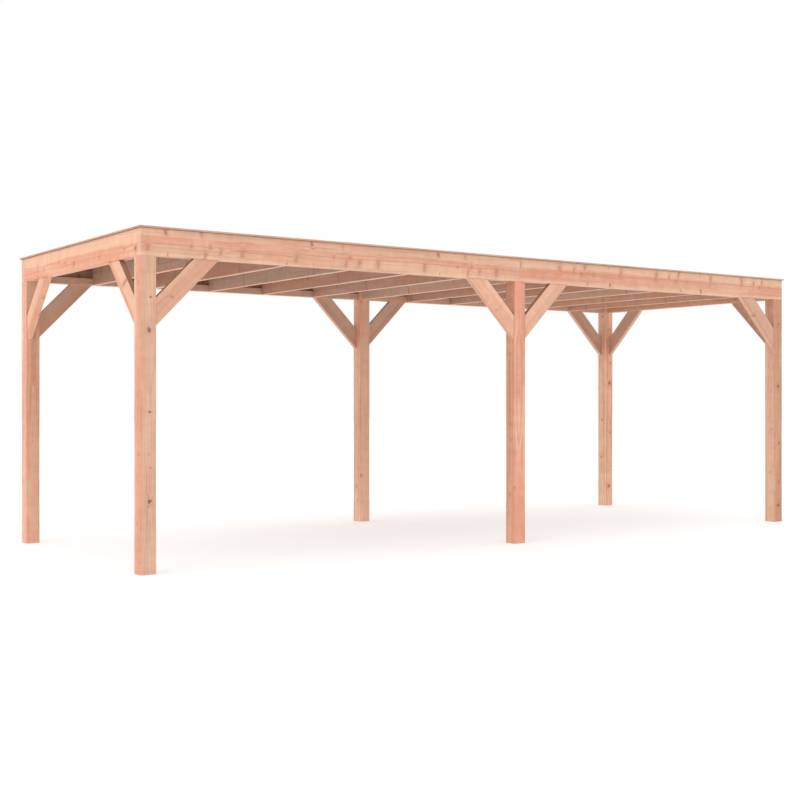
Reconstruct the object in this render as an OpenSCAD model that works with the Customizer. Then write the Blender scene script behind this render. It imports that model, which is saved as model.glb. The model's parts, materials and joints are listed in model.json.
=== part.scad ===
// Timber garden canopy: six posts, ring beams, knee braces, roof joists, deck and top trim.
// Millimetres, +Z up. Origin on the ground at the middle of the plan, long side along X.

/* [Overall] */
// Length over the outer faces of the posts
length = 7150; // [6000:50:9000]
// Depth over the outer faces of the posts
depth = 2610; // [2200:10:4000]
// Clear height from the ground to the underside of the beams
clear_height = 2315; // [2000:5:2600]

/* [Posts] */
// Side of the square posts
post_size = 120; // [110:5:200]

/* [Ring beams] */
// Thickness of the ring beams
beam_thick = 70; // [60:1:85]
// Height of the ring beams
beam_height = 200; // [180:5:280]

/* [Ledgers] */
// Thickness of the ledgers that carry the joist ends
ledger_thick = 20; // [12:1:24]
// Height of the ledgers
ledger_height = 60; // [40:5:100]

/* [Joists] */
// Thickness of a joist
joist_thick = 45; // [35:1:70]
// Height of a joist
joist_height = 145; // [120:5:160]
// Distance from the inside of a side beam to the centre of the first joist
end_bay = 580; // [300:5:600]

/* [Roof deck] */
// Thickness of the roof deck
deck_thick = 18; // [12:1:20]
// Gap between the roof deck and the ring beams
deck_gap = 3; // [1:0.5:8]

/* [Top trim] */
// Thickness of the flat trim on top of the beams
trim_thick = 14; // [10:1:30]
// Width of the trim
trim_width = 100; // [90:5:140]
// How far the trim stands out past the beams
trim_overhang = 14; // [0:1:20]

/* [Knee braces] */
// Thickness of a brace
brace_thick = 45; // [35:1:50]
// Width of a brace
brace_width = 145; // [90:5:160]
// Length of the long leg of a brace along post and beam
brace_leg = 510; // [400:5:650]
// How far a brace stands back from the outer face of its post
brace_recess = 8; // [0:1:10]

/* [Joints] */
// Gap left at a sawn end
end_gap = 0.3; // [0.1:0.1:0.5]

/* [Hidden] */
hx = length / 2;
hy = depth / 2;
brace_inner = brace_leg - brace_width * sqrt(2);
beam_top = clear_height + beam_height;
deck_under = clear_height + joist_height;
ring_x = hx - beam_thick;
ring_y = hy - beam_thick;
post_x = hx - post_size;
post_y = hy - post_size;
joist_pitch = (ring_x - end_bay) / 5;
wood_post = [0.86, 0.62, 0.48];
wood_beam = [0.90, 0.68, 0.53];
wood_brace = [0.88, 0.65, 0.50];
wood_inside = [0.66, 0.48, 0.37];

// A corner post in the plus X, plus Y corner: the top is cut back on two sides for the beams.
module corner_post() {
    difference() {
        translate([post_x, post_y, 0]) cube([post_size, post_size, deck_under]);
        translate([ring_x, post_y - 1, clear_height])
            cube([beam_thick + 1, post_size + 2, joist_height + 1]);
        translate([post_x - 1, ring_y, clear_height])
            cube([post_size + 2, beam_thick + 1, joist_height + 1]);
    }
}

// A middle post on the plus Y side: the top is cut back on the outer side only.
module middle_post() {
    difference() {
        translate([-post_size / 2, post_y, 0]) cube([post_size, post_size, deck_under]);
        translate([-post_size / 2 - 1, ring_y, clear_height])
            cube([post_size + 2, beam_thick + 1, joist_height + 1]);
    }
}

// Outline of a brace: the corner of post and beam at the origin, the long legs along +X and -Y.
module brace_outline() {
    polygon([[0, -brace_leg], [0, -brace_inner], [brace_inner, 0], [brace_leg, 0]]);
}

// A brace in the plane of the plus Y side, leaning out along +X from a post face at x.
module brace_long(x) {
    translate([x, hy - brace_recess, clear_height]) rotate([90, 0, 0])
        linear_extrude(brace_thick) brace_outline();
}

// A brace in the plane of the plus X side, leaning towards the middle from the plus Y post.
module brace_short() {
    translate([hx - brace_recess, post_y, clear_height]) rotate([90, 0, -90])
        linear_extrude(brace_thick) brace_outline();
}

// Half of the long ring beam on the plus Y side, from the middle towards plus X.
module beam_long() {
    translate([end_gap / 2, ring_y, clear_height]) cube([hx - end_gap / 2, beam_thick, beam_height]);
}

// The ring beam on the plus X side, between the two long beams.
module beam_short() {
    translate([ring_x, -ring_y + end_gap, clear_height])
        cube([beam_thick, 2 * (ring_y - end_gap), beam_height]);
}

// Half of the ledger on the plus Y side, between the middle post and the corner post.
module ledger_long() {
    translate([post_size / 2 + end_gap, ring_y - ledger_thick, clear_height])
        cube([post_x - post_size / 2 - 2 * end_gap, ledger_thick, ledger_height]);
}

// Joist number i, counted from the middle. Its ends are notched over the ledgers.
module joist(i) {
    x = i * joist_pitch - joist_thick / 2;
    difference() {
        translate([x, -ring_y + end_gap, clear_height])
            cube([joist_thick, 2 * (ring_y - end_gap), joist_height]);
        for (s = [-1, 1]) translate([x - 1, s * ring_y - ledger_thick - end_gap, clear_height - 1])
            cube([joist_thick + 2, 2 * (ledger_thick + end_gap), ledger_height + 1]);
    }
}

// The middle joist is shorter and ends at the middle posts.
module joist_between_posts() {
    translate([-joist_thick / 2, -post_y + end_gap, clear_height])
        cube([joist_thick, 2 * (post_y - end_gap), joist_height]);
}

// A trim board on the plus Y side, mitred at both ends.
module trim_long() {
    a = hx + trim_overhang;
    b = hy + trim_overhang;
    w = trim_width;
    translate([0, 0, beam_top]) linear_extrude(trim_thick)
        polygon([[-a, b], [a, b], [a - w, b - w], [-a + w, b - w]]);
}

// A trim board on the plus X side, mitred at both ends.
module trim_short() {
    a = hx + trim_overhang;
    b = hy + trim_overhang;
    w = trim_width;
    translate([0, 0, beam_top]) linear_extrude(trim_thick)
        polygon([[a, -b], [a, b], [a - w, b - w], [a - w, -b + w]]);
}

module left() { mirror([1, 0, 0]) children(); }
module front() { mirror([0, 1, 0]) children(); }

module post_front_left() { color(wood_post) left() front() corner_post(); }
module post_front_middle() { color(wood_post) front() middle_post(); }
module post_front_right() { color(wood_post) front() corner_post(); }
module post_back_left() { color(wood_post) left() corner_post(); }
module post_back_middle() { color(wood_post) middle_post(); }
module post_back_right() { color(wood_post) corner_post(); }
module beam_front_left() { color(wood_beam) left() front() beam_long(); }
module beam_front_right() { color(wood_beam) front() beam_long(); }
module beam_back_left() { color(wood_beam) left() beam_long(); }
module beam_back_right() { color(wood_beam) beam_long(); }
module beam_side_left() { color(wood_beam) left() beam_short(); }
module beam_side_right() { color(wood_beam) beam_short(); }
module ledger_front_left() { color(wood_inside) left() front() ledger_long(); }
module ledger_front_right() { color(wood_inside) front() ledger_long(); }
module ledger_back_left() { color(wood_inside) left() ledger_long(); }
module ledger_back_right() { color(wood_inside) ledger_long(); }
module joist_1() { color(wood_inside) joist(-5); }
module joist_2() { color(wood_inside) joist(-4); }
module joist_3() { color(wood_inside) joist(-3); }
module joist_4() { color(wood_inside) joist(-2); }
module joist_5() { color(wood_inside) joist(-1); }
module joist_6() { color(wood_inside) joist_between_posts(); }
module joist_7() { color(wood_inside) joist(1); }
module joist_8() { color(wood_inside) joist(2); }
module joist_9() { color(wood_inside) joist(3); }
module joist_10() { color(wood_inside) joist(4); }
module joist_11() { color(wood_inside) joist(5); }
module roof_deck() {
    color(wood_inside) translate([-ring_x + deck_gap, -ring_y + deck_gap, deck_under])
        cube([2 * (ring_x - deck_gap), 2 * (ring_y - deck_gap), deck_thick]);
}
module trim_front() { color(wood_beam) front() trim_long(); }
module trim_back() { color(wood_beam) trim_long(); }
module trim_left() { color(wood_beam) left() trim_short(); }
module trim_right() { color(wood_beam) trim_short(); }
module brace_front_left() { color(wood_brace) front() brace_long(-post_x); }
module brace_front_middle_left() { color(wood_brace) left() front() brace_long(post_size / 2); }
module brace_front_middle_right() { color(wood_brace) front() brace_long(post_size / 2); }
module brace_front_right() { color(wood_brace) left() front() brace_long(-post_x); }
module brace_back_left() { color(wood_brace) brace_long(-post_x); }
module brace_back_middle_left() { color(wood_brace) left() brace_long(post_size / 2); }
module brace_back_middle_right() { color(wood_brace) brace_long(post_size / 2); }
module brace_back_right() { color(wood_brace) left() brace_long(-post_x); }
module brace_side_left_front() { color(wood_brace) left() front() brace_short(); }
module brace_side_left_back() { color(wood_brace) left() brace_short(); }
module brace_side_right_front() { color(wood_brace) front() brace_short(); }
module brace_side_right_back() { color(wood_brace) brace_short(); }

post_front_left();
post_front_middle();
post_front_right();
post_back_left();
post_back_middle();
post_back_right();
beam_front_left();
beam_front_right();
beam_back_left();
beam_back_right();
beam_side_left();
beam_side_right();
ledger_front_left();
ledger_front_right();
ledger_back_left();
ledger_back_right();
joist_1();
joist_2();
joist_3();
joist_4();
joist_5();
joist_6();
joist_7();
joist_8();
joist_9();
joist_10();
joist_11();
roof_deck();
trim_front();
trim_back();
trim_left();
trim_right();
brace_front_left();
brace_front_middle_left();
brace_front_middle_right();
brace_front_right();
brace_back_left();
brace_back_middle_left();
brace_back_middle_right();
brace_back_right();
brace_side_left_front();
brace_side_left_back();
brace_side_right_front();
brace_side_right_back();
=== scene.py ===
"""Looks for the timber garden canopy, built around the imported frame.

Each piece is drawn again from its CAD node with eased arrises. Its wood is cut out of a log: the
grain runs along the piece, and the knots are branches that its faces cut through.
"""

import json
import math
import random

import bmesh
import bpy
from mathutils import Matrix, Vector


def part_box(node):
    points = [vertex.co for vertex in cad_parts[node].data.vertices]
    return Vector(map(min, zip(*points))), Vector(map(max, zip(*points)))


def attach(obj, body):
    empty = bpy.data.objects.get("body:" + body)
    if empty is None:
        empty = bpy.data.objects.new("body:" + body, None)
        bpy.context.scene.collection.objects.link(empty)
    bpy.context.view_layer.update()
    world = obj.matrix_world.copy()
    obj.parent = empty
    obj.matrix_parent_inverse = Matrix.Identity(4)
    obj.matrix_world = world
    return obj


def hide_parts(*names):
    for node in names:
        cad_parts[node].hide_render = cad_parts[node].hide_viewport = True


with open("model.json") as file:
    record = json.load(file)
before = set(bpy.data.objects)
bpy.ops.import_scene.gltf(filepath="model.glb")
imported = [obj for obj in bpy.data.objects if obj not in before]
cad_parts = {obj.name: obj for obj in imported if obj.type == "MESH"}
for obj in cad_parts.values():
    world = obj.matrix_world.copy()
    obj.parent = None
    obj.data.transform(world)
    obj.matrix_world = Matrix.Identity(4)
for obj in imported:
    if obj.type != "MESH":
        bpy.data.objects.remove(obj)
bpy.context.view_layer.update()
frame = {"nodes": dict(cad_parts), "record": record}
scene = bpy.context.scene

# all in metres
LOG = 1.24  # the chosen branches come back after this length of a log
RISE, RISE_AT_FACE = 0.20, 0.014  # how far a chosen branch climbs per metre outwards, and at a usual face
EASE, THIN_EASE = 0.002, 0.0015  # radius of the arrises, and on ledgers and trim
DECK_BOARDS = 17
DECK_JOINT, DECK_VEE = 0.0004, 0.003  # half the gap between two deck boards, and their bevel
FLOOR_HALF, FLOOR_Z = 60.0, -0.001


# ---------------------------------------------------------------- materials
def srgb(colour, share=(1, 1, 1)):
    """An 8-bit colour, or a share of it, as the linear values that Blender wants."""
    out = []
    for c, s in zip(colour, share):
        c = c * s / 255.0
        out.append(c / 12.92 if c <= 0.04045 else ((c + 0.055) / 1.055) ** 2.4)
    return (*out, 1.0)


class Tree:
    """Short names for making shader nodes."""

    def __init__(self, owner):
        owner.use_nodes = True
        self.nt = owner.node_tree
        self.nt.nodes.clear()

    def new(self, kind, **props):
        n = self.nt.nodes.new(kind)
        for k, v in props.items():
            setattr(n, k, v)
        return n

    def link(self, a, b):
        self.nt.links.new(a, b)

    def put(self, socket, value):
        if isinstance(value, bpy.types.NodeSocket):
            self.link(value, socket)
        else:
            socket.default_value = value

    def math(self, op, *values):
        n = self.new("ShaderNodeMath", operation=op)
        for socket, value in zip(n.inputs, values):
            self.put(socket, value)
        return n.outputs[0]

    def mul(self, first, *more):
        for value in more:
            first = self.math("MULTIPLY", first, value)
        return first

    def add(self, first, *more):
        for value in more:
            first = self.math("ADD", first, value)
        return first

    def sub(self, a, b):
        return self.math("SUBTRACT", a, b)

    def scaled(self, value, by, plus):
        return self.math("MULTIPLY_ADD", value, by, plus)

    def swing(self, value, half):
        """0 to 1 becomes -half to +half."""
        return self.math("MULTIPLY_ADD", value, 2 * half, -half)

    def length(self, a, b):
        return self.math("SQRT", self.add(self.mul(a, a), self.mul(b, b)))

    def step(self, value, lo, hi, out_lo=0.0, out_hi=1.0):
        n = self.new("ShaderNodeMapRange", interpolation_type="SMOOTHSTEP")
        self.put(n.inputs["Value"], value)
        for name, v in (("From Min", lo), ("From Max", hi), ("To Min", out_lo), ("To Max", out_hi)):
            n.inputs[name].default_value = v
        return n.outputs["Result"]

    def fade(self, value, lo, hi):
        return self.step(value, lo, hi, 1.0, 0.0)

    def vec(self, *values):
        n = self.new("ShaderNodeCombineXYZ")
        for socket, value in zip(n.inputs, values):
            self.put(socket, value)
        return n.outputs[0]

    def split(self, colour):
        n = self.new("ShaderNodeSeparateColor")
        self.link(colour, n.inputs[0])
        return n.outputs

    def attribute(self, name):
        """The three parts of a vector that the mesh carries."""
        at = self.new("ShaderNodeAttribute", attribute_type="GEOMETRY", attribute_name=name)
        n = self.new("ShaderNodeSeparateXYZ")
        self.link(at.outputs["Vector"], n.inputs[0])
        return n.outputs

    def noise(self, vector, detail=2.0, rough=0.5):
        n = self.new("ShaderNodeTexNoise", noise_dimensions="3D")
        self.link(vector, n.inputs["Vector"])
        n.inputs["Scale"].default_value = 1.0
        n.inputs["Detail"].default_value = detail
        n.inputs["Roughness"].default_value = rough
        return n.outputs["Fac"]

    def chance(self, value):
        """A random number for each whole number."""
        n = self.new("ShaderNodeTexWhiteNoise", noise_dimensions="1D")
        self.link(self.math("FLOOR", value), n.inputs["W"])
        return n.outputs["Value"]

    def mix(self, fac, a, b, kind="MIX"):
        n = self.new("ShaderNodeMix", data_type="RGBA", blend_type=kind, clamp_factor=True)
        self.put(n.inputs["Factor"], fac)
        self.put(n.inputs[6], a)
        self.put(n.inputs[7], b)
        return n.outputs[2]


def wood(name, tints, ring_mm, whorl, share, pins=0.35, dead=0.35, contrast=1.0, lines=0.5,
         ink=0.85, stripe=None, live=(), gone=()):
    """Planed Douglas: growth rings round a pith line, branches that run out from it, pale sapwood.

    tints are its light, deep, pink, cream, tan and knot colours. whorl is the distance between
    rounds of branches; share and pins say how many places bear a knot and a pin knot, and dead
    how many of the knots are dark. live and gone list chosen branches, the first sound and the
    second dark by ink: place along the log, direction round the pith in degrees, radius.
    stripe is where one long red line runs, across the board from the pith, and on which side of
    it the wood is pinker.
    """
    light, deep, pink, cream, tan, knot = (srgb(c) for c in tints)
    dark_line = srgb(tints[1], (0.86, 0.82, 0.80))
    knot_deep = srgb(tints[5], (0.93, 0.89, 0.86))
    knot_dark = srgb(tints[5], (0.78, 0.70, 0.68))
    mat = bpy.data.materials.new(name)
    t = Tree(mat)
    u, v, w = t.attribute("grain")
    # the third part is the lightness of the face, painted light and shade included
    end, sap_at, tone_and_painted_light = t.attribute("board")
    blush = t.new("ShaderNodeAttribute", attribute_type="GEOMETRY", attribute_name="blush").outputs["Fac"]

    # the pith wanders slowly, so rings run out along the length
    slow = t.new("ShaderNodeTexNoise", noise_dimensions="1D")
    t.link(u, slow.inputs["W"])
    slow.inputs["Scale"].default_value = 0.6
    slow.inputs["Detail"].default_value = 1.5
    sway = t.split(slow.outputs["Color"])
    v1 = t.add(v, t.swing(sway[0], 0.02))
    w1 = t.add(w, t.swing(sway[1], 0.02))
    r = t.math("MAXIMUM", t.length(v1, w1), 0.001)
    angle = t.math("ARCTAN2", w1, v1)

    def mottle(along, across, detail=2.0, rough=0.5, y=v, z=w):
        """Noise, with its frequency along the grain and across it."""
        return t.noise(t.vec(t.mul(u, along), t.mul(y, across), t.mul(z, across)), detail, rough)

    wave = mottle(3.0, 12.0, 3.0, 0.5, v1, w1)
    blot = mottle(38.0, 38.0, 1.0)
    fray = mottle(40.0, 90.0, 2.0, 0.6)

    def branches(gap, sectors, odds, thin, thick, spread, seed):
        """At most one knot in each cell of length and angle.

        Returns its heart, its rim, the bent grain round it, its size, the distance from it in
        radii, and a random number of its own.
        """
        along = t.math("DIVIDE", u, gap)
        turn = t.mul(t.add(angle, math.pi), sectors / (2 * math.pi))
        rand = t.new("ShaderNodeTexWhiteNoise", noise_dimensions="3D")
        t.link(t.vec(t.math("FLOOR", along), t.math("FLOOR", turn), seed), rand.inputs["Vector"])
        draw = t.split(rand.outputs["Color"])
        own = rand.outputs["Value"]
        in_u = t.sub(t.math("FRACT", along), 0.5)
        in_turn = t.sub(t.math("FRACT", turn), 0.5)
        du = t.add(t.mul(t.sub(in_u, t.swing(draw[0], spread / 2)), gap), t.mul(r, 0.28))
        dt = t.mul(t.sub(in_turn, t.swing(draw[1], 0.25)), t.mul(r, 2 * math.pi / sectors))
        has = t.math("LESS_THAN", draw[2], odds)
        size = t.mul(t.scaled(own, thick - thin, thin), t.math("MINIMUM", r, 0.10))
        size = t.math("MAXIMUM", size, 0.0015)
        d = t.add(t.length(du, dt), t.mul(t.sub(fray, 0.5), t.mul(size, 0.5)))
        rel = t.math("DIVIDE", d, size)
        inside = t.mul(t.fade(t.math("ABSOLUTE", in_turn), 0.36, 0.5),
                       t.fade(t.math("ABSOLUTE", in_u), 0.38, 0.5))
        core = t.mul(t.fade(rel, 0.60, 1.25), has)
        rim = t.mul(t.step(rel, 0.75, 1.0), t.fade(rel, 1.0, 1.3), has)
        halo = t.mul(t.fade(rel, 0.8, 4.5), t.mul(inside, has))
        return core, rim, halo, size, rel, own

    def nearest(places):
        """Distance from the nearest of the chosen branches, in radii of that branch."""
        best = 9.0
        for at, turn, radius in places:
            c, s = math.cos(math.radians(turn)), math.sin(math.radians(turn))
            side = t.sub(t.mul(w, c), t.mul(v, s))
            out = t.add(t.mul(v, c), t.mul(w, s))
            place = t.scaled(t.scaled(out, RISE, u), 1 / LOG, 0.5 - (at + RISE_AT_FACE) / LOG)
            du = t.scaled(t.math("FRACT", place), LOG, -LOG / 2)
            d = t.add(t.length(du, side), t.swing(fray, radius * 0.25), t.swing(blot, radius * 0.8))
            behind = t.mul(t.math("LESS_THAN", out, 0.004), 9.0)
            best = t.math("MINIMUM", best, t.add(t.math("DIVIDE", d, radius), behind))
        return best

    core, rim, halo, size, rel, own = branches(whorl, 6, share, 0.07, 0.14, 0.35, 1.7)
    pin_core, _, pin_halo, pin_size, _, _ = branches(whorl * 0.37, 9, pins, 0.02, 0.05, 0.3, 8.3)
    is_dead = t.math("LESS_THAN", t.math("FRACT", t.mul(own, 7.3)), dead)
    near_live, near_gone = nearest(live), nearest(gone)
    chosen_halo = t.fade(t.math("MINIMUM", near_live, near_gone), 0.9, 3.6)

    # growth rings, pushed outwards where they pass a knot
    push = t.add(t.mul(halo, t.mul(size, 1.2)), t.mul(pin_halo, t.mul(pin_size, 1.2)),
                 t.mul(chosen_halo, 0.010))
    rr = t.add(r, push, t.swing(wave, 0.010))
    pace = t.noise(t.vec(t.mul(rr, 11.0), 3.7, 0.0))
    ring = t.add(t.math("DIVIDE", rr, ring_mm / 1000.0), t.mul(pace, 6.0))
    across_ring = t.math("FRACT", ring)
    late = t.mul(t.step(across_ring, 0.35, 0.85), t.fade(across_ring, 0.90, 1.0))
    late = t.mul(late, t.scaled(t.chance(ring), 0.5, 0.1))

    # a few dark lines that wave along the whole board and bend round the chosen knots
    bend = t.add(t.swing(wave, 0.017), t.mul(chosen_halo, 0.006))
    layer = t.math("DIVIDE", t.add(t.mul(v, 0.8), t.mul(w, 0.6), bend), ring_mm * 0.0013)
    from_line = t.math("ABSOLUTE", t.sub(t.math("FRACT", layer), 0.5))
    line = t.mul(t.fade(from_line, 0.04, 0.16), t.math("POWER", t.chance(layer), 2.0))

    # bands of pink and tan heart, red streaks, cream sapwood, fine fibre
    side = t.math("DIVIDE", v1, r)
    band = t.noise(t.vec(t.mul(u, 0.4), t.mul(rr, 34.0), t.mul(side, 0.8)), 3.0, 0.6)
    red = t.noise(t.vec(t.mul(u, 0.55), t.mul(rr, 70.0), t.mul(side, 1.1)), 2.0, 0.55)
    streak = mottle(0.9, 85.0, 2.0, 0.6, v1, w1)
    patch = mottle(3.2, 16.0)
    fibre = mottle(9.0, 700.0, 2.0, 0.6)
    cloud = mottle(1.3, 7.0)
    ripple = mottle(17.0, 9.0)
    sap = t.step(t.sub(t.add(rr, t.swing(wave, 0.006)), sap_at), -0.006, 0.022)
    heart = t.sub(1.0, t.mul(sap, 0.7))

    c = t.mix(t.step(t.scaled(blush, 0.16, band), 0.40, 0.60), light, pink)
    c = t.mix(t.mul(t.step(patch, 0.52, 0.66), 0.45), c, pink)
    c = t.mix(t.mul(t.step(t.scaled(blush, 0.14, patch), 0.48, 0.34), 0.60), c, tan)
    c = t.mix(t.mul(t.step(cloud, 0.50, 0.70), 0.55), c, cream)
    c = t.mix(t.mul(sap, 0.75), c, cream)
    c = t.mix(t.mul(t.step(red, 0.56, 0.68), 0.65 * contrast, heart), c, deep)
    c = t.mix(t.mul(late, 0.55 * contrast), c, deep)
    c = t.mix(t.mul(line, lines, heart), c, dark_line)
    if stripe:
        off = t.mul(t.sub(t.add(v, bend), stripe[0]), stripe[1])
        c = t.mix(t.mul(t.step(off, -0.004, 0.004), t.fade(off, 0.02, 0.05), 0.40), c, pink)
        c = t.mix(t.mul(t.fade(t.math("ABSOLUTE", off), 0.001, 0.006), 0.60), c, deep)
    c = t.mix(t.mul(t.step(streak, 0.60, 0.74), 0.40 * contrast), c, deep)
    c = t.mix(t.mul(t.math("MAXIMUM", halo, t.mul(chosen_halo, 0.8)), 0.35), c, deep)

    # knots
    turned = t.scaled(t.math("SINE", t.mul(rel, 17.0)), 0.25, 0.25)
    c = t.mix(t.mul(core, 0.70), c, t.mix(turned, knot, knot_deep))
    c = t.mix(t.mul(core, is_dead, 0.70), c, knot_dark)
    c = t.mix(t.mul(rim, t.scaled(is_dead, 0.40, 0.15)), c, knot_dark)
    c = t.mix(t.mul(pin_halo, 0.25), c, deep)
    c = t.mix(t.mul(pin_core, 0.75), c, knot_dark)
    if live:
        turned = t.scaled(t.math("SINE", t.mul(near_live, 11.0)), 0.30, 0.35)
        c = t.mix(t.mul(t.fade(near_live, 0.40, 1.50), 0.55), c, t.mix(turned, knot, knot_deep))
    if gone:
        c = t.mix(t.mul(t.fade(near_gone, 0.60, 1.25), ink), c, knot_dark)

    # paler sawn ends, then lightness: from board to board, painted light and shade from face to face, in soft ripples
    # and in the fibre
    c = t.mix(t.mul(end, 0.5), c, cream)
    lum = t.mul(tone_and_painted_light, t.add(t.swing(ripple, 0.13), t.swing(fibre, 0.06), 1.0))
    grey = t.new("ShaderNodeCombineColor")
    for socket in grey.inputs[:3]:
        t.link(lum, socket)
    c = t.mix(1.0, c, grey.outputs[0], "MULTIPLY")

    bump = t.new("ShaderNodeBump")
    bump.inputs["Strength"].default_value = 0.35
    bump.inputs["Distance"].default_value = 0.0006
    t.link(t.add(t.mul(late, 0.35), t.add(t.mul(fibre, 0.5), t.mul(core, 0.6))), bump.inputs["Height"])
    bsdf = t.new("ShaderNodeBsdfPrincipled")
    t.link(c, bsdf.inputs["Base Color"])
    t.link(t.add(t.scaled(late, -0.10, 0.64), t.swing(fibre, 0.06)), bsdf.inputs["Roughness"])
    bsdf.inputs["Specular IOR Level"].default_value = 0.40
    t.link(bump.outputs[0], bsdf.inputs["Normal"])
    out = t.new("ShaderNodeOutputMaterial")
    t.link(bsdf.outputs[0], out.inputs[0])
    return mat


# light, deep, pink, cream, tan and knot colours
FAIR = (228, 180, 151), (200, 136, 108), (228, 158, 130), (242, 198, 166), (218, 178, 149), (188, 126, 94)
EVEN = (229, 178, 149), (210, 152, 124), (229, 168, 140), (236, 188, 158), (220, 176, 148), (192, 132, 102)
# CALM is a greyer, cooler copy of EVEN for the braces that stand in shade: painted shade
CALM = (220, 178, 153), (202, 152, 127), (220, 168, 143), (228, 188, 162), (212, 176, 151), (184, 130, 105)
WARM = (238, 182, 148), (214, 146, 112), (240, 166, 134), (252, 203, 169), (236, 186, 150), (190, 130, 100)
# ROOF and DECK are darker, greyer copies of the wood for the joists and deck under the roof: painted shade
ROOF = (198, 168, 149), (166, 124, 102), (200, 150, 124), (206, 178, 158), (186, 161, 140), (140, 102, 82)
DECK = (186, 160, 140), (160, 126, 106), (180, 146, 126), (194, 170, 150), (176, 152, 132), (138, 104, 84)
TRIM = (208, 160, 137), (184, 132, 108), (206, 152, 128), (216, 174, 151), (198, 155, 132), (154, 106, 84)
MATS = {
    "post_wood": wood(
        "douglas_post", FAIR, ring_mm=9.0, whorl=0.50, share=0.20, pins=0.15, lines=0.8,
        live=((0.35, 180, 0.010), (0.80, 190, 0.008), (0.95, 20, 0.012)),
        gone=((0.0, -95, 0.017), (0.24, -80, 0.0065), (0.645, -85, 0.0088), (0.52, 100, 0.010))),
    "beam_wood": wood(
        "douglas_beam", FAIR, ring_mm=8.0, whorl=0.45, share=0.06, pins=0.08, dead=0.2, lines=0.30,
        ink=0.60, stripe=(-0.032, 1),
        live=((0.0, 147, 0.019), (1.06, 148, 0.013), (0.964, 122, 0.014), (0.934, 155, 0.013),
              (0.472, 149, 0.016), (0.898, 35, 0.008), (0.814, 128, 0.010)),
        gone=((0.61, 36, 0.012), (0.634, 159, 0.0035))),
    "brace_wood": wood(
        "douglas_brace", EVEN, ring_mm=7.0, whorl=0.40, share=0.20, pins=0.0, contrast=0.6, lines=0.25),
    # the joists and the deck take the darker, greyer tints: painted shade
    "joist_wood": wood(
        "douglas_joist", ROOF, ring_mm=6.0, whorl=0.42, share=0.35, pins=0.15, dead=0.7, contrast=0.7,
        lines=0.25, ink=0.55, gone=((0.0, -3, 0.0060), (0.0, -177, 0.0050), (0.53, -3, 0.0065))),
    "deck_wood": wood("douglas_deck", DECK, ring_mm=5.0, whorl=0.40, share=0.55, dead=0.5),
    "trim_wood": wood("douglas_trim", TRIM, ring_mm=5.0, whorl=0.45, share=0.5),
    # the next three are not slots: the first two are other logs for some pieces of a slot, and the third is a greyer,
    # cooler copy of the brace wood for braces in shade, which is painted shade
    "calm_post": wood(
        "douglas_calm_post", FAIR, ring_mm=9.0, whorl=0.62, share=0.12, pins=0.10, dead=0.0, lines=0.8,
        stripe=(-0.035, 1), live=((0.24, 80, 0.008), (0.72, 100, 0.007), (0.86, 92, 0.008))),
    "side_beam": wood(
        "douglas_side_beam", WARM, ring_mm=8.0, whorl=0.45, share=0.12, pins=0.08, dead=0.1, lines=0.30,
        ink=0.70, stripe=(0.016, -1),
        live=((0.7, -60, 0.010), (0.2, -45, 0.010)), gone=((0.0, -66, 0.017),)),
    # the braces in shade take the greyer tints: painted shade
    "back_brace": wood(
        "douglas_back_brace", CALM, ring_mm=7.0, whorl=0.40, share=0.20, pins=0.0, contrast=0.6, lines=0.25),
}
CALM_POSTS = ("post_front_middle", "post_back_left", "post_back_middle")


def log_of(node):
    """The log that a node's wood is cut from; the braces at the back and on the right side get a greyer copy of the
    brace wood, which is painted shade.
    """
    if node in CALM_POSTS:
        return "calm_post"
    if node.startswith(("beam_side", "brace_side_left")):
        return "side_beam"
    # the braces at the back and on the right side, which stand in shade, get the greyer copy: painted shade
    if node.startswith(("brace_back", "brace_side_right")):
        return "back_brace"
    return slot_of(node)


# ---------------------------------------------------------------- pieces
def slot_of(node):
    for s in frame["record"]["subparts"]:
        if s["node"] == node:
            return s["material_slot"]
    raise KeyError(node)


def cad_mesh(node):
    """The node's faces as whole polygons again, in a new bmesh."""
    src = frame["nodes"][node]
    bm = bmesh.new()
    bm.from_mesh(src.data)
    bm.transform(src.matrix_world)
    bmesh.ops.remove_doubles(bm, verts=bm.verts, dist=1e-5)
    bmesh.ops.dissolve_limit(bm, angle_limit=math.radians(1), verts=bm.verts, edges=bm.edges)
    bm.normal_update()
    return bm


def ease(bm, width, segments=2):
    """Rounds every arris by width."""
    bmesh.ops.bevel(bm, geom=list(bm.edges), offset=width, offset_type="OFFSET",
                    segments=segments, profile=0.5, affect="EDGES", clamp_overlap=True)
    bm.normal_update()


def middle(bm):
    lo = Vector([min(v.co[k] for v in bm.verts) for k in range(3)])
    hi = Vector([max(v.co[k] for v in bm.verts) for k in range(3)])
    return (lo + hi) / 2


def axis_of(normal):
    """0, 1 or 2 for the axis that a face looks along most."""
    n = [abs(q) for q in normal]
    return n.index(max(n))


def painted_light_and_shade_of(node, n, mid):
    """Painted light and shade: how much darker or lighter than the outside a face is made where it looks inwards, down
    or up into a corner, for the shade or light that falls there.
    """
    inward = n.x * mid.x + n.y * mid.y < -0.5 * abs(mid.x * n.x) - 0.5 * abs(mid.y * n.y)
    upright = abs(n.z) < 0.1
    # braces: painted shade on their upper faces and on their inward faces
    if node.startswith("brace"):
        return 0.40 if n.z > 0.5 else 0.8 if inward and upright else 1.0
    # beams: painted shade on their inner faces
    if node.startswith("beam") and inward and upright:
        return 0.75 if "side" in node else 0.40 if "back" in node else 0.6
    # joists: painted light on their undersides
    if node.startswith("joist") and n.z < -0.5:
        return 1.45
    # trim: painted shade on its underside
    if node.startswith("trim") and n.z < -0.5:
        return 0.45
    return 1.0


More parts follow.
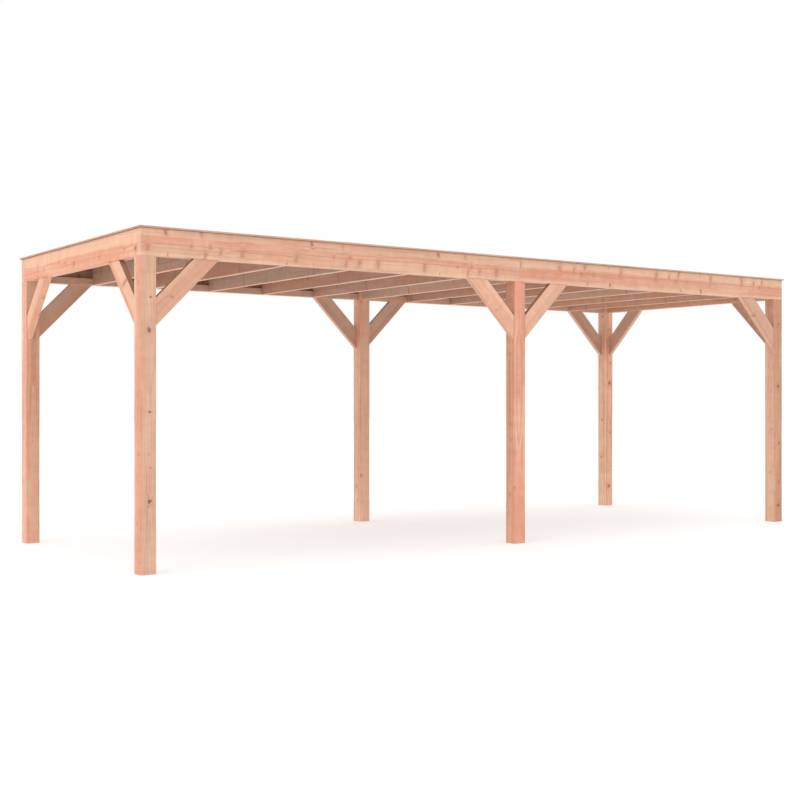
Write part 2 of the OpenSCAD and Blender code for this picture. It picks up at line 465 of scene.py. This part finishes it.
def finish_piece(bm, name, node, along, across, pith, sap, tone_and_painted_light, blush, start, seed):
    """Writes the mesh, its place in the log and what sort of board it is, with the painted light and shade of each
    face.

    pith is where the heart lies from the middle of the piece, first along
    across and then square to it; sap is the radius at which sapwood starts;
    tone and blush are the lightness and redness of the faces across X, Y and Z, where the lightness holds painted
    light and shade on some pieces as well as the wood's own lightness; start is where on the log the middle of the
    piece is cut.
    """
    rng = random.Random(seed)
    mid = middle(bm)
    a = Vector(along).normalized()
    c = Vector(across)
    c = (c - a * c.dot(a)).normalized()
    d = a.cross(c)
    shift = start + LOG * rng.randint(4, 40)
    me = bpy.data.meshes.new(name)
    bm.to_mesh(me)
    grain = me.attributes.new("grain", "FLOAT_VECTOR", "POINT")
    for i, v in enumerate(me.vertices):
        p = v.co - mid
        grain.data[i].vector = (p.dot(a) + shift, p.dot(c) - pith[0], p.dot(d) - pith[1])
    board = me.attributes.new("board", "FLOAT_VECTOR", "FACE")
    for i, f in enumerate(me.polygons):
        # the face's lightness: its board's lightness times the painted light and shade of the face
        light = tone_and_painted_light[axis_of(f.normal)] * painted_light_and_shade_of(node, f.normal, mid)
        board.data[i].vector = (abs(f.normal.dot(a)) ** 3, sap, light)
        f.use_smooth = False
    # made only now, because a new attribute moves the others in memory
    hue = me.attributes.new("blush", "FLOAT", "FACE")
    for i, f in enumerate(me.polygons):
        hue.data[i].value = blush[axis_of(f.normal)]
    ob = bpy.data.objects.new(name, me)
    scene.collection.objects.link(ob)
    me.materials.append(MATS[log_of(node)])
    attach(ob, "root")
    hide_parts(node)


def lie_of(node):
    """The direction of the grain in a node, and a direction across it."""
    if node.startswith("post"):
        return (0, 0, 1), (0, 1, 0) if node in CALM_POSTS else (1, 0, 0)
    if node.startswith("joist") or node in ("beam_side_left", "beam_side_right", "trim_left", "trim_right"):
        return (0, 1, 0), (0, 0, 1)
    if node in ("beam_front_right", "beam_back_left"):
        return (-1, 0, 0), (0, 0, -1)
    if node.startswith("brace"):
        lo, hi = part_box(node)
        if "side" in node:
            return (0, -1 if lo[1] + hi[1] > 0 else 1, 1), (0, 0, 1)
        rises_right = node.endswith(("_front_left", "_back_left", "_middle_right"))
        return (1 if rises_right else -1, 0, 1), (0, 0, 1)
    return (1, 0, 0), (0, 0, 1)


# for each sort of piece, how far the heart may lie from its middle both ways, and where sapwood starts
SPREAD = {
    "post": ((-0.03, 0.03), (-0.03, 0.03), (0.070, 0.095)),
    "beam": ((-0.05, 0.05), (-0.02, 0.02), (0.080, 0.120)),
    "ledg": ((-0.03, 0.03), (0.02, 0.05), (0.060, 0.120)),
    "jois": ((-0.05, 0.05), (-0.018, 0.018), (0.075, 0.130)),
    "brac": ((-0.06, 0.02), (-0.05, 0.05), (0.070, 0.100)),
    "trim": ((-0.08, -0.03), (-0.05, 0.05), (0.070, 0.110)),
}
# what is chosen for a board instead of drawn: see finish_piece. Its lightness per face is painted light and shade:
# sides made lighter or darker for how light falls on them.
CHOSEN = {
    "post_front_left": dict(pith=(0.010, -0.025), sap=0.086, start=0.702, tone_and_painted_light=(1.02, 0.98, 1), blush=(0.5, -1, 0)),
    "post_front_middle": dict(pith=(0.0, 0.015), tone_and_painted_light=(0.92, 1.03, 1), blush=(0.2, 0.6, 0)),
    "post_front_right": dict(pith=(0.005, -0.010), sap=0.090, start=1.062, tone_and_painted_light=(1.02, 0.80, 1), blush=(-0.8, 0.6, 0)),
    "post_back_left": dict(pith=(0.005, 0.0), tone_and_painted_light=(1.15, 0.96, 1), blush=(-0.4, -0.4, 0)),
    "post_back_middle": dict(pith=(0.0, -0.010), tone_and_painted_light=(1.06, 0.99, 1), blush=(-0.9, -0.6, 0)),
    "post_back_right": dict(start=0.998, tone_and_painted_light=(1.02, 1.09, 1), blush=(-0.6, -0.8, 0)),
    "beam_front_left": dict(pith=(0.020, -0.005), sap=0.105, start=0.962, tone_and_painted_light=(1, 1, 1), blush=(0, -0.2, 0)),
    "beam_front_right": dict(pith=(0.020, -0.005), sap=0.058, start=1.160, tone_and_painted_light=(1, 0.96, 1), blush=(0, 0.2, 0)),
    "beam_side_left": dict(pith=(-0.060, 0.0), sap=0.070, start=1.218, tone_and_painted_light=(0.97, 1, 1), blush=(0.2, 0, 0)),
    "beam_side_right": dict(tone_and_painted_light=(1, 1, 1), blush=(-0.6, 0, 0)),
    "brace_side_left_front": dict(pith=(-0.035, 0.02), sap=0.075, tone_and_painted_light=(0.92, 1, 1), blush=(0.3, 0, 0)),
    "brace_side_left_back": dict(pith=(-0.035, 0.02), sap=0.075, tone_and_painted_light=(0.89, 0.98, 1), blush=(0.3, -1, 0)),
    "brace_front_left": dict(tone_and_painted_light=(1, 0.91, 1), blush=(0, 0, 0)),
    "brace_front_middle_left": dict(tone_and_painted_light=(1, 1.04, 1), blush=(0, 0.2, 0)),
    "brace_front_middle_right": dict(tone_and_painted_light=(1, 0.98, 1), blush=(0, 0.2, 0)),
    "brace_front_right": dict(tone_and_painted_light=(1, 0.80, 1), blush=(0, 0.6, 0)),
    "ledger_back_right": dict(tone_and_painted_light=(1, 1.17, 1), blush=(0, 0, 0)),
}
for node in frame["nodes"]:
    if node.startswith(("brace_back", "brace_side_right")):
        CHOSEN[node] = dict(tone_and_painted_light=(1, 1, 1), blush=(0, 0, 0))
# lightness and redness of the joists, from left to right
JOISTS = ((1.05, -0.4), (1, 1), (1, -0.6), (1, 1), (1, 0.6), (1.15, -0.6), (1, 1), (1, 1), (1.18, -0.6),
          (1.1, 0.8), (1.1, 0.8))
for k, (light, red) in enumerate(JOISTS):
    heart = (0.012 * (k % 3) - 0.010, -0.018)
    CHOSEN[f"joist_{k + 1}"] = dict(pith=heart, tone_and_painted_light=(light, 1, 1), blush=(red, red, 0.5))

for i, node in enumerate(sorted(frame["nodes"])):
    if node == "roof_deck":
        continue
    bm = cad_mesh(node)
    ease(bm, THIN_EASE if node.startswith(("trim", "ledger")) else EASE)
    rng = random.Random(100 + i)
    heart_v, heart_w, sap_from = SPREAD[node[:4]]
    board = dict(
        pith=(rng.uniform(*heart_v), rng.uniform(*heart_w)),
        sap=rng.uniform(*sap_from),
        tone_and_painted_light=[rng.uniform(0.96, 1.03) for _ in range(3)],
        blush=[rng.uniform(-1, 1) for _ in range(3)],
        start=rng.uniform(0, LOG))
    board.update(CHOSEN.get(node, {}))
    along, across = lie_of(node)
    finish_piece(bm, "wood_" + node, node, along, across, seed=500 + i, **board)
    bm.free()

# the roof deck: boards side by side along the canopy, with a small V at each joint
lo, hi = (Vector(c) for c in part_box("roof_deck"))
pitch = (hi.y - lo.y) / DECK_BOARDS
for k in range(DECK_BOARDS):
    bm = bmesh.new()
    bmesh.ops.create_cube(bm, size=1.0)
    y0, y1 = lo.y + k * pitch + DECK_JOINT, lo.y + (k + 1) * pitch - DECK_JOINT
    for v in bm.verts:
        v.co = Vector((lo.x if v.co.x < 0 else hi.x, y0 if v.co.y < 0 else y1, lo.z if v.co.z < 0 else hi.z))
    bm.normal_update()
    ease(bm, DECK_VEE, 1)
    rng = random.Random(900 + k)
    finish_piece(
        bm, f"deck_board_{k + 1}", "roof_deck", (1, 0, 0), (0, 0, 1),
        pith=(rng.choice((-1, 1)) * rng.uniform(0.02, 0.07), rng.uniform(-0.06, 0.06)),
        sap=rng.uniform(0.07, 0.12), tone_and_painted_light=[rng.uniform(0.94, 1.03)] * 3, blush=[rng.uniform(-1, 1)] * 3,
        start=rng.uniform(0, LOG), seed=950 + k)
    bm.free()


# ---------------------------------------------------------------- stage
def seen(t):
    """1 for what the camera sees, straight or through gloss or glass, and 0 for light on the object."""
    path = t.new("ShaderNodeLightPath").outputs
    indirect = t.math("MAXIMUM", path["Is Glossy Ray"], path["Is Transmission Ray"])
    return t.math("MAXIMUM", path["Is Camera Ray"], indirect)


# a pale floor, brought up to white where it is seen, less the shadow that it keeps
floor_mat = bpy.data.materials.new("floor")
t = Tree(floor_mat)
pale = t.new("ShaderNodeBsdfDiffuse")
pale.inputs["Color"].default_value = (0.80, 0.805, 0.81, 1)
glow = t.new("ShaderNodeEmission")
glow.inputs["Color"].default_value = (1, 1, 1, 1)
t.link(t.mul(seen(t), 0.30), glow.inputs["Strength"])
both = t.new("ShaderNodeAddShader")
t.link(pale.outputs[0], both.inputs[0])
t.link(glow.outputs[0], both.inputs[1])
out = t.new("ShaderNodeOutputMaterial")
t.link(both.outputs[0], out.inputs[0])
corners = [(x * FLOOR_HALF, y * FLOOR_HALF, FLOOR_Z) for x, y in ((-1, -1), (1, -1), (1, 1), (-1, 1))]
me = bpy.data.meshes.new("floor")
me.from_pydata(corners, [], [(0, 1, 2, 3)])
me.materials.append(floor_mat)
floor = bpy.data.objects.new("floor", me)
scene.collection.objects.link(floor)
# the floor shows the shadow but holds no light back: it is as bright below the canopy as above it
floor.visible_diffuse = False
floor.visible_shadow = False

# an even white studio: one background lights the object and the other is seen, both at full white
world = bpy.data.worlds.new("studio")
scene.world = world
t = Tree(world)
studio = t.new("ShaderNodeMixShader")
t.link(seen(t), studio.inputs[0])
for socket in studio.inputs[1:3]:
    white = t.new("ShaderNodeBackground")
    white.inputs["Color"].default_value = (1, 1, 1, 1)
    white.inputs["Strength"].default_value = 1.0
    t.link(white.outputs[0], socket)
out = t.new("ShaderNodeOutputWorld")
t.link(studio.outputs[0], out.inputs[0])

# a wide soft lamp from the left and the front, above
sun = bpy.data.lights.new("key", "SUN")
sun.energy = 0.4
sun.angle = math.radians(40)
key = bpy.data.objects.new("key", sun)
key.rotation_euler = Vector((0.85, 0.30, -0.70)).to_track_quat("-Z", "Y").to_euler()
scene.collection.objects.link(key)

# ---------------------------------------------------------------- camera
# level, at the place, turn and lens that fit the photo
cam = bpy.data.cameras.new("camera")
cam.lens = 57.08
cam.sensor_width = 36.0
cam_ob = bpy.data.objects.new("camera", cam)
cam_ob.location = (-7.289, -9.875, 1.267)
cam_ob.rotation_euler = (math.radians(90), 0, math.radians(-34.98))
scene.collection.objects.link(cam_ob)
scene.camera = cam_ob
scene.view_settings.view_transform = "Standard"
